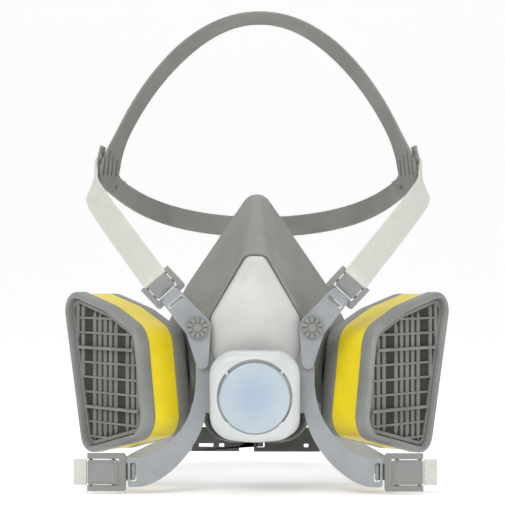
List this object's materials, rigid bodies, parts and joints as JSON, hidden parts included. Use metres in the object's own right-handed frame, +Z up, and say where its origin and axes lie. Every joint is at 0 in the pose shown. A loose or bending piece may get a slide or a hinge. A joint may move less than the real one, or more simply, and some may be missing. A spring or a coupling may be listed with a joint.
{
  "type": "half mask respirator",
  "caption": "Soft elastomeric half mask with side cartridges, exhalation valve, swivelling strap links, head cradle and neck strap.",
  "frame": {"origin": "centre of the face seal opening", "axes": "+Z up towards the nose tip, -Y the way the wearer looks, X = 0 the mirror plane, +X the side on the right when seen from the front"},
  "size_m": [0.19, 0.2144, 0.2428],
  "materials": {
    "faceblank": "soft matte elastomer",
    "cream_plastic": "satin moulded",
    "white_plastic": "satin moulded",
    "pale_blue_disc": "satin moulded",
    "translucent_plastic": "milky translucent",
    "grey_plastic": "fine moulded grain",
    "dark_plastic": "fine moulded grain",
    "webbing": "woven elastic tape",
    "silicone": "thin translucent rubber",
    "yellow_label": "satin film, no print",
    "black_rubber": "matte",
    "carbon": "granular",
    "filter_cloth": "non-woven"
  },
  "bodies": {
    "facepiece": {"faceblank": "faceblank", "front_shell": "cream_plastic", "valve_seat": "white_plastic", "valve_cover": "white_plastic", "cover_disc": "pale_blue_disc", "yoke": "translucent_plastic", "pivot_rivet_left": "grey_plastic", "pivot_rivet_right": "grey_plastic", "head_strap_left": "webbing", "head_strap_right": "webbing", "neck_strap_left": "webbing", "neck_strap_right": "webbing", "neck_clasp_loop": "dark_plastic", "cartridge_body_left": "grey_plastic", "cartridge_body_right": "grey_plastic", "cartridge_grille_left": "grey_plastic", "cartridge_grille_right": "grey_plastic", "cartridge_label_left": "yellow_label", "cartridge_label_right": "yellow_label", "sorbent_bed_left": "carbon", "sorbent_bed_right": "carbon", "dust_screen_left": "filter_cloth", "dust_screen_right": "filter_cloth", "cartridge_gasket_left": "black_rubber", "cartridge_gasket_right": "black_rubber", "inhalation_port_left": "cream_plastic", "inhalation_port_right": "cream_plastic"},
    "exhalation_flap": {"exhalation_valve": "silicone"},
    "inhalation_flap_left": {"inhalation_valve_left": "silicone"},
    "inhalation_flap_right": {"inhalation_valve_right": "silicone"},
    "link_left": {"upper_link_left": "translucent_plastic", "upper_buckle_left": "grey_plastic"},
    "link_right": {"upper_link_right": "translucent_plastic", "upper_buckle_right": "grey_plastic"},
    "cradle": {"head_cradle": "grey_plastic", "strap_clip_left": "grey_plastic", "strap_clip_right": "grey_plastic"},
    "neck_buckle_left": {"lower_buckle_left": "grey_plastic", "strap_tail_left": "webbing"},
    "neck_buckle_right": {"lower_buckle_right": "grey_plastic", "strap_tail_right": "webbing"},
    "clasp_hook": {"neck_clasp_hook": "dark_plastic"}
  },
  "joints": [
    {"name": "exhale_lift", "type": "slide", "parent": "facepiece", "child": "exhalation_flap", "axis": [0, -1, 0], "range_m": [0, 0.0012], "stiffness_N_per_m": 20},
    {"name": "inhale_lift_left", "type": "slide", "parent": "facepiece", "child": "inhalation_flap_left", "axis": [0.809, 0.5878, 0], "range_m": [0, 0.0012], "stiffness_N_per_m": 20},
    {"name": "inhale_lift_right", "type": "slide", "parent": "facepiece", "child": "inhalation_flap_right", "axis": [-0.809, 0.5878, 0], "range_m": [0, 0.0012], "stiffness_N_per_m": 20},
    {"name": "link_swivel_left", "type": "hinge", "parent": "facepiece", "child": "link_left", "pos_m": [-0.0268, -0.058, -0.0033], "axis": [0, 1, 0], "range_deg": [-8, 8]},
    {"name": "link_swivel_right", "type": "hinge", "parent": "facepiece", "child": "link_right", "pos_m": [0.0268, -0.058, -0.0033], "axis": [0, 1, 0], "range_deg": [-8, 8]},
    {"name": "cradle_swing", "type": "hinge", "parent": "facepiece", "child": "cradle", "pos_m": [0, 0.058, 0.074], "axis": [1, 0, 0], "range_deg": [-25, 25]},
    {"name": "buckle_swing_left", "type": "hinge", "parent": "facepiece", "child": "neck_buckle_left", "pos_m": [-0.0573, -0.0558, -0.0715], "axis": [0, 0, 1], "range_deg": [-8, 8]},
    {"name": "buckle_swing_right", "type": "hinge", "parent": "facepiece", "child": "neck_buckle_right", "pos_m": [0.0573, -0.0558, -0.0715], "axis": [0, 0, 1], "range_deg": [-8, 8]},
    {"name": "clasp_release", "type": "slide", "parent": "facepiece", "child": "clasp_hook", "axis": [0, 1, 0], "range_m": [0, 0.006]}
  ]
}
